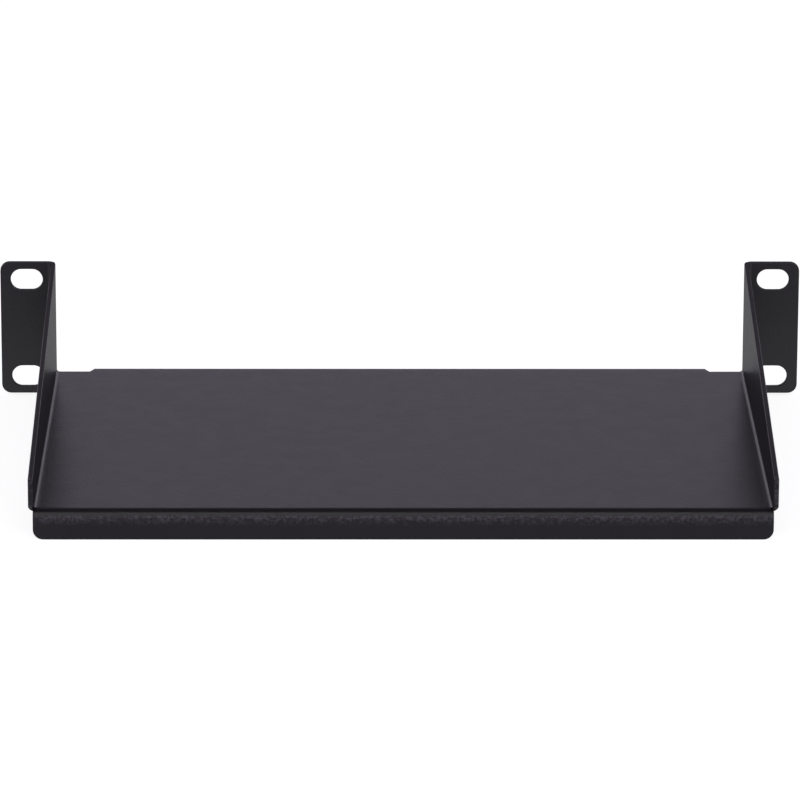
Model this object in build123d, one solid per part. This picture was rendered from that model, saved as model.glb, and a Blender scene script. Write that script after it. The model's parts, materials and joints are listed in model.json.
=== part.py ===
from build123d import *
import os

# One unit shelf for a ten inch rack, cut from one steel sheet and folded six times.
# Millimetres. X runs across the rack, Z is up and -Y points into the rack, so that Y = 0 is
# the plane where the ears meet the rails. The origin is the middle of the four ear slots.

# Steel sheet and its bends
sheet = 1.5
bend_inner = 1.2

# Hole spacing of a ten inch rack, across it and over one rack unit
hole_spacing_across = 236.525
hole_spacing_up = 31.75

# Slots in the ears, and the sheet left around each slot's middle
slot_length = 10.1
slot_width = 6.7
slot_to_side = 8.34
slot_to_end = 5.725
slot_to_wall = 7.76
ear_corner = 3.0

# Plate that carries the device, and the low ends of the walls beside it
depth = 150.0
plate_rise = 8.3
wall_end_rise = 9.8
wall_overhang = 0.8

# Lips that stiffen the plate's free edge and its front edge
lip_height = 9.1
lip_corner = 3.0
free_lip_lap = 0.25

# Notches that part the front lip from the ears' lower ends
notch_width = 11.6
notch_depth = 5.2
notch_flare = 1.1

# Heights that follow from the sizes above
ear_top = hole_spacing_up / 2 + slot_to_end
plate_top = plate_rise - ear_top
plate_bottom = plate_top - sheet
lip_bottom = plate_top - lip_height
wall_end_top = plate_top + wall_end_rise

# Places across the shelf, from its middle
slot_place = hole_spacing_across / 2
ear_side = slot_place + slot_to_side
wall_outside = slot_place - slot_to_wall
wall_inside = wall_outside - sheet
plate_edge = wall_inside - bend_inner
free_lip_end = wall_inside + free_lip_lap
front_lip_end = wall_inside - notch_width

# Places along the shelf, from the rail plane
bend_outer = bend_inner + sheet
front_bend = sheet - bend_outer
free_bend = bend_outer - depth
notch_bottom = sheet - notch_depth
wall_end = -depth - wall_overhang


def folded_strip(start, corner, end):
    """Section of a strip folded once by a right angle. Its hollow side runs through the points."""
    start, corner, end = Vector(start), Vector(corner), Vector(end)
    first = (corner - start).normalized() * sheet
    second = (end - corner).normalized() * sheet
    hollow = FilletPolyline(start, corner, end, radius=bend_inner)
    outer = FilletPolyline(start - second, corner + first - second, end + first, radius=bend_outer)
    ends = Line(start, start - second) + Line(end, end + first)
    return make_face(hollow + outer + ends)


def plate():
    """Flat plate between the bends, with a flared notch at both front corners."""
    right_half = Polyline(
        (0, free_bend),
        (plate_edge, free_bend),
        (plate_edge, notch_bottom),
        (front_lip_end + notch_flare, notch_bottom),
        (front_lip_end, front_bend),
        (0, front_bend),
    )
    outline = make_face(right_half + mirror(right_half, Plane.YZ))
    return extrude(Plane.XY.offset(plate_bottom) * outline, sheet)


def lip(section, end):
    """Lip folded down from the plate, with its two lower corners rounded."""
    strip = extrude(Plane.YZ * section, end, both=True)
    corners = strip.edges().filter_by(Axis.Y).group_by(Axis.Z)[0]
    return fillet(corners, lip_corner)


def free_lip():
    """Lip along the edge that points into the rack."""
    back = sheet - depth
    section = folded_strip((free_bend + sheet, plate_bottom), (back, plate_bottom), (back, lip_bottom))
    return lip(section, free_lip_end)


def front_lip():
    """Lip between the ears, level with their front faces."""
    section = folded_strip((0, lip_bottom), (0, plate_bottom), (front_bend - sheet, plate_bottom))
    return lip(section, front_lip_end)


def wall_strip():
    """Right wall folded up from the plate, as long as the shelf and not yet cut to its slope."""
    section = folded_strip((plate_edge - sheet, plate_top), (wall_inside, plate_top), (wall_inside, ear_top))
    return extrude(Plane.XZ.offset(-notch_bottom) * section, notch_bottom - wall_end)


def ear_strip():
    """Right ear folded out from the wall's front end, with its two outer corners rounded."""
    section = folded_strip((ear_side, 0), (wall_outside, 0), (wall_outside, notch_bottom))
    strip = extrude(Plane.XY * section, ear_top, both=True)
    corners = strip.edges().filter_by(Axis.Y).group_by(Axis.X)[-1]
    return fillet(corners, ear_corner)


def side_outline():
    """Side view of a wall with its ear: sloped on top, and mitred where the free lip folds away."""
    outline = Polyline(
        (wall_end, plate_top + bend_inner),
        (wall_end, wall_end_top),
        (0, ear_top),
        (sheet, ear_top),
        (sheet, -ear_top),
        (notch_bottom, -ear_top),
        (notch_bottom, plate_bottom),
        (free_bend, plate_bottom),
        close=True,
    )
    return extrude(Plane.YZ * make_face(outline), ear_side)


def ear_slots():
    """The two slots of the right ear, which take the rack screws."""
    slot = extrude(Plane.XZ * SlotOverall(slot_length, slot_width), 2 * sheet, both=True)
    rise = hole_spacing_up / 2
    return Pos(slot_place, 0, rise) * slot + Pos(slot_place, 0, -rise) * slot


def right_side():
    """Right wall and ear, trimmed and slotted."""
    return (wall_strip() + ear_strip()) & side_outline() - ear_slots()


side = right_side()
shelf = plate() + free_lip() + front_lip() + side + mirror(side, Plane.YZ)
shelf.label = "shelf"

os.makedirs("parts", exist_ok=True)
export_step(shelf, "parts/shelf.step")
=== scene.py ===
import json
from math import cos, pi, radians, sin

import bmesh
import bpy
from mathutils import Euler, Matrix, Vector


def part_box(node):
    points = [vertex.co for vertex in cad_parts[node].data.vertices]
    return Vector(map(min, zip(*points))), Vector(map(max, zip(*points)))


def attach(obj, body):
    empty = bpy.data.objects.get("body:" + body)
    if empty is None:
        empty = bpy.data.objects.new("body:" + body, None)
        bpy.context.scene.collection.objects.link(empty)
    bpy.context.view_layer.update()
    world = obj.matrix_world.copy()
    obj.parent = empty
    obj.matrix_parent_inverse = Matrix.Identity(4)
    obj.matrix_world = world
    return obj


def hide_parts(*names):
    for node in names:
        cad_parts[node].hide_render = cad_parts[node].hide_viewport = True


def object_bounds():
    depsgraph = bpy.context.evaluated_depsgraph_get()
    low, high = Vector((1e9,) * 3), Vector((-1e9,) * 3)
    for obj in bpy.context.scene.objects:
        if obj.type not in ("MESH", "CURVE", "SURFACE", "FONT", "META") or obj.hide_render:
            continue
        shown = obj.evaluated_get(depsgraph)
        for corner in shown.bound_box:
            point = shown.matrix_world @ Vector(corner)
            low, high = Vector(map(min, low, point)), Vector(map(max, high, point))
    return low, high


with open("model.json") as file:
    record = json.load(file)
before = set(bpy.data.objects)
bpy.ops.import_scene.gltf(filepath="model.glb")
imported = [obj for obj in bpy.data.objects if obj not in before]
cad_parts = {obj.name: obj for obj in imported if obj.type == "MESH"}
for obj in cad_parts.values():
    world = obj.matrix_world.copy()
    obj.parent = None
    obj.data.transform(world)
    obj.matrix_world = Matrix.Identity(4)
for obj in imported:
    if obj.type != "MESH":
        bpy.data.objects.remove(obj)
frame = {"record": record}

cad_low, cad_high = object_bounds()

# Camera
# A long lens looks down over the shelf's free lip towards the rack ears at its far end.
# Its tilt, swing and lean were fitted to the slots, bends and edges in the photograph.
view_distance = 1.844
view_tilt = radians(16.54)
view_swing = radians(0.474)
view_lean = radians(0.15)
view_aim = Vector((-0.0005, -0.075, -0.00165))
view_reach = 20
lens_mm = 271.3
sensor_mm = 36

scene = bpy.context.scene
scene.view_settings.view_transform = "Standard"
camera_data = bpy.data.cameras.new("camera")
camera_data.lens = lens_mm
camera_data.sensor_width = sensor_mm
camera_data.clip_end = view_reach
camera = bpy.data.objects.new("camera", camera_data)
scene.collection.objects.link(camera)
aimed = Euler((pi / 2 - view_tilt, 0, -view_swing)).to_matrix() @ Matrix.Rotation(view_lean, 3, "Z")
standpoint = view_aim + view_distance * (aimed @ Vector((0, 0, 1)))
camera.matrix_world = Matrix.LocRotScale(standpoint, aimed, None)
scene.camera = camera

# Studio
# A low bank of light behind the shelf draws the long soft sheen on its plate, and another in front
# lights the lip's bend. Grey side walls and two large lamps fill in, and the floor is plain white.


def linear(hex_colour):
    """A colour written as sRGB hex, turned to the linear values that a shader takes."""
    parts = [int(hex_colour[place:place + 2], 16) / 255 for place in (1, 3, 5)]
    return [v / 12.92 if v <= 0.04045 else ((v + 0.055) / 1.055) ** 2.4 for v in parts] + [1.0]


def add_node(tree, kind, settings={}, **inputs):
    """Adds a node, sets its properties and fills its inputs with values or other nodes' outputs."""
    node = tree.nodes.new(kind)
    for name, value in settings.items():
        setattr(node, name, value)
    for name, value in inputs.items():
        socket = node.inputs[int(name[1:])] if name[1:].isdigit() else node.inputs[name.replace("_", " ")]
        if isinstance(value, bpy.types.NodeSocket):
            tree.links.new(value, socket)
        else:
            socket.default_value = value
    return node


# Light by the angle over the room, from the floor behind the shelf to the floor in front of it
sweep_levels = {
    0: 0.98,
    10: 0.8,
    20: 0.16,
    32: 0.24,
    50: 0.17,
    90: 0.0,
    150: 0.0,
    165: 0.95,
    180: 0.95,
}
side_level = 0.6
side_starts = 0.35
side_fills = 0.85
studio_tint = "#f3ecff"

world = bpy.data.worlds.new("studio")
world.use_nodes = True
scene.world = world
sky = world.node_tree
sky.nodes.clear()
direction = add_node(sky, "ShaderNodeTexCoord").outputs["Generated"]
split = add_node(sky, "ShaderNodeSeparateXYZ", i0=direction)
angle = add_node(sky, "ShaderNodeMath", {"operation": "ARCTAN2"},
                 i0=split.outputs["Z"], i1=split.outputs["Y"])
turn = add_node(sky, "ShaderNodeMath", {"operation": "DIVIDE"}, i0=angle.outputs[0], i1=pi)
sweep = add_node(sky, "ShaderNodeValToRGB", Fac=turn.outputs[0])
for degrees in list(sweep_levels)[1:-1]:
    sweep.color_ramp.elements.new(degrees / 180)
for stop, (degrees, level) in zip(sweep.color_ramp.elements, sweep_levels.items()):
    stop.position = degrees / 180
    stop.color = (level, level, level, 1)
across = add_node(sky, "ShaderNodeMath", {"operation": "ABSOLUTE"}, i0=split.outputs["X"])
aside = add_node(sky, "ShaderNodeMapRange", {"interpolation_type": "SMOOTHSTEP"},
                 i0=across.outputs[0], i1=side_starts, i2=side_fills, i3=0.0, i4=1.0)
around = add_node(sky, "ShaderNodeMix", {"data_type": "FLOAT"},
                  i0=aside.outputs[0], i2=sweep.outputs[0], i3=side_level)
rays = add_node(sky, "ShaderNodeLightPath")
strength = add_node(sky, "ShaderNodeMix", {"data_type": "FLOAT"},
                    i0=rays.outputs["Is Camera Ray"], i2=around.outputs[0], i3=1.0)
hue = add_node(sky, "ShaderNodeMix", {"data_type": "RGBA"},
               i0=rays.outputs["Is Camera Ray"], i6=linear(studio_tint), i7=linear("#ffffff"))
glow = add_node(sky, "ShaderNodeBackground", Color=hue.outputs[2], Strength=strength.outputs[0])
add_node(sky, "ShaderNodeOutputWorld", Surface=glow.outputs[0])

lamp_size = 2.4
lamp_powers = {(1.1, -1.5, 1.4): 17, (-1.1, -1.5, 1.4): 15}
for lamp_place, lamp_power in lamp_powers.items():
    bpy.ops.object.select_all(action="DESELECT")
    bpy.ops.object.light_add(type="AREA", location=lamp_place)
    lamp = bpy.context.object
    lamp.data.size = lamp_size
    lamp.data.energy = lamp_power
    lamp.rotation_euler = (view_aim - Vector(lamp_place)).to_track_quat("-Z", "Y").to_euler()

floor_size = 6.0
floor_white = "#c8c8c8"
seen_level = 0.8

# What the shelf mirrors of the floor: a painted glow that only reflections see, bright behind the shelf and
# fading out under it
mirrored_level = 0.5
mirror_starts = -0.19
mirror_full = -0.05

bpy.ops.object.select_all(action="DESELECT")
bpy.ops.mesh.primitive_plane_add(size=floor_size, location=(0, 0, cad_low.z))
floor = bpy.context.object
floor.name = "floor"
floor_paint = bpy.data.materials.new("white matt floor")
floor_paint.use_nodes = True
tree = floor_paint.node_tree
tree.nodes.clear()
matt = add_node(tree, "ShaderNodeBsdfDiffuse", Color=linear(floor_white))
place = add_node(tree, "ShaderNodeTexCoord").outputs["Object"]
split = add_node(tree, "ShaderNodeSeparateXYZ", i0=place)
# The floor glows for glossy rays only, from behind the shelf: a painted reflection
behind = add_node(tree, "ShaderNodeMapRange", {"interpolation_type": "SMOOTHSTEP"},
                  i0=split.outputs["Y"], i1=mirror_starts, i2=mirror_full, i3=0.0, i4=mirrored_level)
rays = add_node(tree, "ShaderNodeLightPath")
mirrored = add_node(tree, "ShaderNodeMath", {"operation": "MULTIPLY"},
                    i0=rays.outputs["Is Glossy Ray"], i1=behind.outputs[0])
shown = add_node(tree, "ShaderNodeMix", {"data_type": "FLOAT"},
                 i0=rays.outputs["Is Camera Ray"], i2=mirrored.outputs[0], i3=seen_level)
lit = add_node(tree, "ShaderNodeEmission", Color=linear("#ffffff"), Strength=shown.outputs[0])
seen = add_node(tree, "ShaderNodeAddShader", i0=matt.outputs[0], i1=lit.outputs[0])
add_node(tree, "ShaderNodeOutputMaterial", Surface=seen.outputs[0])
floor.data.materials.append(floor_paint)

# Folded sheet
# The whole shelf is one laser cut steel sheet, folded on a press brake: two walls up, a lip down at
# each end of the plate, and an ear out from the front end of each wall. It is coated after folding.
mounts = {mount["name"]: mount for mount in frame["record"]["mounts"]}
slots = {name: size / 1000 for name, size in mounts["rack_ears"]["dims"].items()}
low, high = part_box("shelf")
sheet = 0.0015
bend_inner = 0.0012
bend_outer = bend_inner + sheet
bend_steps = 8
slot_to_wall = 0.00776
wall_end_rise = 0.0098
free_lip_lap = 0.00025
notch_width = 0.0116
notch_depth = 0.0052

ear_side = high.x
ear_top = high.z
front = high.y
wall_end = low.y
lip_bottom = low.z
plate_top = mounts["plate_top"]["pos_m"][2]
wall_end_top = plate_top + wall_end_rise
slot_place = slots["spacing_x_mm"] / 2
wall_inside = slot_place - slot_to_wall - sheet
plate_edge = wall_inside - bend_inner
free_lip_end = wall_inside + free_lip_lap
front_lip_end = wall_inside - notch_width
front_bend = front - bend_outer
notch_bottom = front - notch_depth
notch_flare = 0.0011
corner = 0.003
corner_steps = 8
coat_round = 0.0003
coat_round_steps = 3
cut_edge_angle = radians(35)
cut_width = 0.0004
near = 0.00001

# The free lip's bend, as steps down from the plate: round at first, then easing out to upright
depth = 0.150
round_turn = radians(80)
ease_length = 0.0028
ease_steps = 5
lip_steps = []
for step in range(bend_steps):
    lean = round_turn * (step + 0.5) / bend_steps
    length = round_turn / bend_steps * bend_outer
    lip_steps.append((length * cos(lean), length * sin(lean)))
for step in range(ease_steps):
    lean = pi / 2 - (pi / 2 - round_turn) * (1 - (step + 0.5) / ease_steps) ** 2
    length = ease_length / ease_steps
    lip_steps.append((length * cos(lean), length * sin(lean)))
free_bend = sum(run for run, drop in lip_steps) - depth
lip_steps.append((0, plate_top - lip_bottom - sum(drop for run, drop in lip_steps)))


def pick(kind, test):
    """Selects the vertices, edges or faces whose every corner passes the test, and nothing else."""
    bpy.context.tool_settings.mesh_select_mode = [kind == name for name in ("VERT", "EDGE", "FACE")]
    bpy.ops.mesh.select_all(action="DESELECT")
    mesh = bmesh.from_edit_mesh(bpy.context.edit_object.data)
    for part in {"VERT": mesh.verts, "EDGE": mesh.edges, "FACE": mesh.faces}[kind]:
        corners = [part] if kind == "VERT" else part.verts
        if all(test(v.co) for v in corners):
            part.select_set(True)
    bmesh.update_edit_mesh(bpy.context.edit_object.data)


def pull(x=0, y=0, z=0):
    """Extrudes the selected edges into new flat strips."""
    bpy.ops.mesh.extrude_edges_move(TRANSFORM_OT_translate={"value": (x, y, z)})


def move(x=0, y=0, z=0):
    """Moves what is selected."""
    bpy.ops.transform.translate(value=(x, y, z))


def fold(centre, axis, angle):
    """Sweeps the selected edges round a bend."""
    bpy.ops.mesh.spin(steps=bend_steps, angle=angle, center=centre, axis=axis)


def modify(piece, kind, **settings):
    """Adds a modifier with its settings and applies it."""
    bpy.context.view_layer.objects.active = piece
    modifier = piece.modifiers.new(kind.lower(), kind)
    for name, value in settings.items():
        setattr(modifier, name, value)
    bpy.ops.object.modifier_apply(modifier=modifier.name)


bpy.ops.object.select_all(action="DESELECT")
bpy.ops.mesh.primitive_plane_add(size=1)
shelf = bpy.context.object
shelf.name = "folded_shelf"
bpy.ops.object.mode_set(mode="EDIT")

# The right half of the plate, and the notch at its front corner
bpy.ops.transform.resize(value=(plate_edge, notch_bottom - free_bend, 1))
move(plate_edge / 2, (notch_bottom + free_bend) / 2, plate_top)
bpy.ops.mesh.bisect(plane_co=(front_lip_end + notch_flare, 0, 0), plane_no=(1, 0, 0))
pick("EDGE", lambda p: p.y > notch_bottom - near and p.x < front_lip_end + notch_flare + near)
pull(y=front_bend - notch_bottom)
pick("VERT", lambda p: p.y > notch_bottom + near and p.x > near)
move(x=-notch_flare)

# The front lip and the free lip, folded down from the plate
pick("EDGE", lambda p: p.y > front_bend - near)
fold((0, front_bend, plate_top - bend_outer), (1, 0, 0), pi / 2)
pull(z=lip_bottom + bend_outer - plate_top)
pick("EDGE", lambda p: p.y < free_bend + near)
for run, drop in lip_steps:
    pull(y=-run, z=-drop)

# The free lip's end, which runs out past the plate over the first rows of its bend
run_out_rows = 3
row, level = free_bend, plate_top
for step, (run, drop) in enumerate(lip_steps, 1):
    row -= run
    level -= drop
    pick("VERT", lambda p: p.x > plate_edge - near and abs(p.y - row) < near and abs(p.z - level) < near)
    move(x=(free_lip_end - plate_edge) * min(step / run_out_rows, 1))

# The wall, folded up from the plate, with its mitre beside the free lip
pick("EDGE", lambda p: p.x > plate_edge - near and p.y > free_bend - near and p.z > plate_top - near)
fold((plate_edge, 0, plate_top + bend_inner), (0, 1, 0), pi / 2)
pull(z=ear_top - plate_top - bend_inner)
for step in range(1, bend_steps + 2):
    turn = pi / 2 * min(step / bend_steps, 1)
    level = ear_top if step > bend_steps else plate_top + bend_inner * (1 - cos(turn))
    pick("VERT", lambda p: p.x > plate_edge + near and p.y < free_bend + near and abs(p.z - level) < near)
    move(y=(wall_end - free_bend) * (1 - cos(turn)))

# The strip in front of the wall, which reaches below the plate and is parted from its bend by a cut
pick("EDGE", lambda p: p.x > wall_inside - near and p.y > notch_bottom - near)
pull(y=cut_width)
pull(y=front_bend - notch_bottom - cut_width)
pick("EDGE", lambda p: p.y > notch_bottom + cut_width - near and p.x > wall_inside - near and p.z < 0)
pull(z=-ear_top - plate_top - bend_inner)

# The ear, folded out from the strip
pick("EDGE", lambda p: p.y > front_bend - near and p.x > wall_inside - near)
fold((wall_inside + bend_outer, front_bend, 0), (0, 0, 1), pi / 2)
pull(x=ear_side - wall_inside - bend_outer)

# The slope along the top of the wall, and the rounded corners of the ear and the lips
bpy.ops.mesh.select_all(action="SELECT")
slope = Vector((0, wall_end_top - ear_top, -wall_end)).normalized()
bpy.ops.mesh.bisect(plane_co=(0, 0, ear_top), plane_no=slope, clear_outer=True)
pick("VERT", lambda p: p.x > ear_side - near and abs(p.z) > ear_top - near)
bpy.ops.mesh.bevel(offset=corner, segments=corner_steps, affect="VERTICES")
notch_side = front_lip_end + notch_flare
pick("VERT", lambda p: p.z < lip_bottom + near
     and p.x > front_lip_end - near
     and abs(p.x - notch_side) > near)
bpy.ops.mesh.bevel(offset=corner, segments=corner_steps, affect="VERTICES")
bpy.ops.mesh.select_all(action="SELECT")
bpy.ops.mesh.normals_make_consistent(inside=False)
bpy.ops.object.mode_set(mode="OBJECT")
modify(shelf, "MIRROR", use_clip=True)
modify(shelf, "SOLIDIFY", thickness=sheet, offset=-1, use_even_offset=True)

# The slots, cut with a round punch that is stretched to their length
slot_round = slots["hole_r_mm"]
slot_sides = 48
bpy.ops.object.select_all(action="DESELECT")
punch_length = 4 * sheet
bpy.ops.mesh.primitive_cylinder_add(vertices=slot_sides, radius=slot_round, depth=punch_length,
                                    rotation=(pi / 2, 0, 0))
punch = bpy.context.object
bpy.ops.object.transform_apply(location=False, rotation=True, scale=False)
bpy.ops.object.mode_set(mode="EDIT")
for side in (1, -1):
    pick("VERT", lambda p: p.x * side > near)
    move(x=side * (slots["slot_length_mm"] / 2 - slot_round))
bpy.ops.mesh.select_all(action="SELECT")
move(slot_place, 0, slots["spacing_y_mm"] / 2)
bpy.ops.mesh.duplicate_move(TRANSFORM_OT_translate={"value": (0, 0, -slots["spacing_y_mm"])})
bpy.ops.mesh.select_all(action="SELECT")
bpy.ops.mesh.duplicate_move(TRANSFORM_OT_translate={"value": (-2 * slot_place, 0, 0)})
bpy.ops.object.mode_set(mode="OBJECT")
modify(shelf, "BOOLEAN", object=punch, operation="DIFFERENCE", solver="EXACT")
bpy.data.objects.remove(punch)

# The coat rounds every cut edge, and its skin is smooth over flats and bends
modify(shelf, "BEVEL", width=coat_round, segments=coat_round_steps, angle_limit=cut_edge_angle,
       use_clamp_overlap=False)
bpy.ops.object.select_all(action="DESELECT")
shelf.select_set(True)
bpy.context.view_layer.objects.active = shelf
bpy.ops.object.shade_smooth()
flat_weight = 100
modify(shelf, "WEIGHTED_NORMAL", mode="FACE_AREA", weight=flat_weight, keep_sharp=False)

# Black polyester powder coat with a fine leather texture. It was sprayed dry and baked, so it lies over
# the steel as a satin skin with small rounded grains; where the lip bends, their tips are painted lighter
# grey, a painted highlight of the glints they catch there. A real texture of this kind is finer, and is
# drawn coarser here, so that it shows.
coat_black = "#161319"
coat_grey = "#18151b"
# Lighter grey for the grain tips round the lip's bend: a painted highlight
painted_glint_grey = "#3d3a42"
coat_rough = 0.31
coat_rough_worn = 0.34
coat_shine = 0.5
grain_mm = 0.9
grain_height = 0.00022
cloud_mm = 7.0
cloud_low = 0.35
cloud_high = 0.65
plain_share = 0.25
tip_low = 0.45
tip_high = 0.62
fade_start = 0.74
fade_end = 0.86
fade_most = 0.6

# Where the bend's stronger grains and their painted highlight start and are full, outwards over the bend
# and upwards over the lip's face
out_starts = -0.1495
out_full = -0.14985
up_starts = -0.0183
up_full = -0.0158
coat = bpy.data.materials.new("textured black polyester powder coat")
coat.use_nodes = True
tree = coat.node_tree
tree.nodes.clear()
place = add_node(tree, "ShaderNodeTexCoord").outputs["Object"]
grain = add_node(tree, "ShaderNodeTexNoise", Vector=place, Scale=1000 / grain_mm, Detail=2.0, Roughness=0.5)
cloud = add_node(tree, "ShaderNodeTexNoise", Vector=place, Scale=1000 / cloud_mm, Detail=3.0, Roughness=0.5)
patch = add_node(tree, "ShaderNodeMapRange",
                 i0=cloud.outputs[0], i1=cloud_low, i2=cloud_high, i3=0.0, i4=1.0)
black = add_node(tree, "ShaderNodeMix", {"data_type": "RGBA"},
                 i0=patch.outputs[0], i6=linear(coat_black), i7=linear(coat_grey))
rough = add_node(tree, "ShaderNodeMapRange",
                 i0=patch.outputs[0], i1=0.0, i2=1.0, i3=coat_rough, i4=coat_rough_worn)
# The powder lies thickest round the free lip's bend, so its grains stand out most there, and their tips
# there are painted lighter grey: a painted highlight
split = add_node(tree, "ShaderNodeSeparateXYZ", i0=place)
outward = add_node(tree, "ShaderNodeMapRange",
                   i0=split.outputs["Y"], i1=out_starts, i2=out_full, i3=0.0, i4=1.0)
upward = add_node(tree, "ShaderNodeMapRange",
                  i0=split.outputs["Z"], i1=up_starts, i2=up_full, i3=0.0, i4=1.0)
bend = add_node(tree, "ShaderNodeMath", {"operation": "MINIMUM"},
                i0=outward.outputs[0], i1=upward.outputs[0])
thick = add_node(tree, "ShaderNodeMapRange", i0=bend.outputs[0], i1=0.0, i2=1.0, i3=plain_share, i4=1.0)
bump = add_node(tree, "ShaderNodeBump",
                Strength=thick.outputs[0], Distance=grain_height, Height=grain.outputs[0])
tips = add_node(tree, "ShaderNodeMapRange",
                i0=grain.outputs[0], i1=tip_low, i2=tip_high, i3=0.0, i4=1.0)
# Painted highlight: the grain tips round the bend turn lighter grey
painted_glint = add_node(tree, "ShaderNodeMath", {"operation": "MULTIPLY"}, i0=bend.outputs[0], i1=tips.outputs[0])
tone = add_node(tree, "ShaderNodeMix", {"data_type": "RGBA"},
                i0=painted_glint.outputs[0], i6=black.outputs[2], i7=linear(painted_glint_grey))
shiny = add_node(tree, "ShaderNodeBsdfPrincipled", Base_Color=tone.outputs[2], Roughness=rough.outputs[0],
                 IOR=1.5, Specular_IOR_Level=coat_shine, Normal=bump.outputs[0])
# Seen nearly edge on, the grains hide each other's shine, so the sheen fades out instead of rising
dull = add_node(tree, "ShaderNodeBsdfDiffuse", Color=tone.outputs[2], Normal=bump.outputs[0])
edge_on = add_node(tree, "ShaderNodeLayerWeight", Blend=0.5)
fade = add_node(tree, "ShaderNodeMapRange",
                i0=edge_on.outputs["Facing"], i1=fade_start, i2=fade_end, i3=0.0, i4=fade_most)
surface = add_node(tree, "ShaderNodeMixShader", i0=fade.outputs[0], i1=shiny.outputs[0], i2=dull.outputs[0])
add_node(tree, "ShaderNodeOutputMaterial", Surface=surface.outputs[0])
shelf.data.materials.append(coat)

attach(shelf, "root")
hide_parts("shelf")
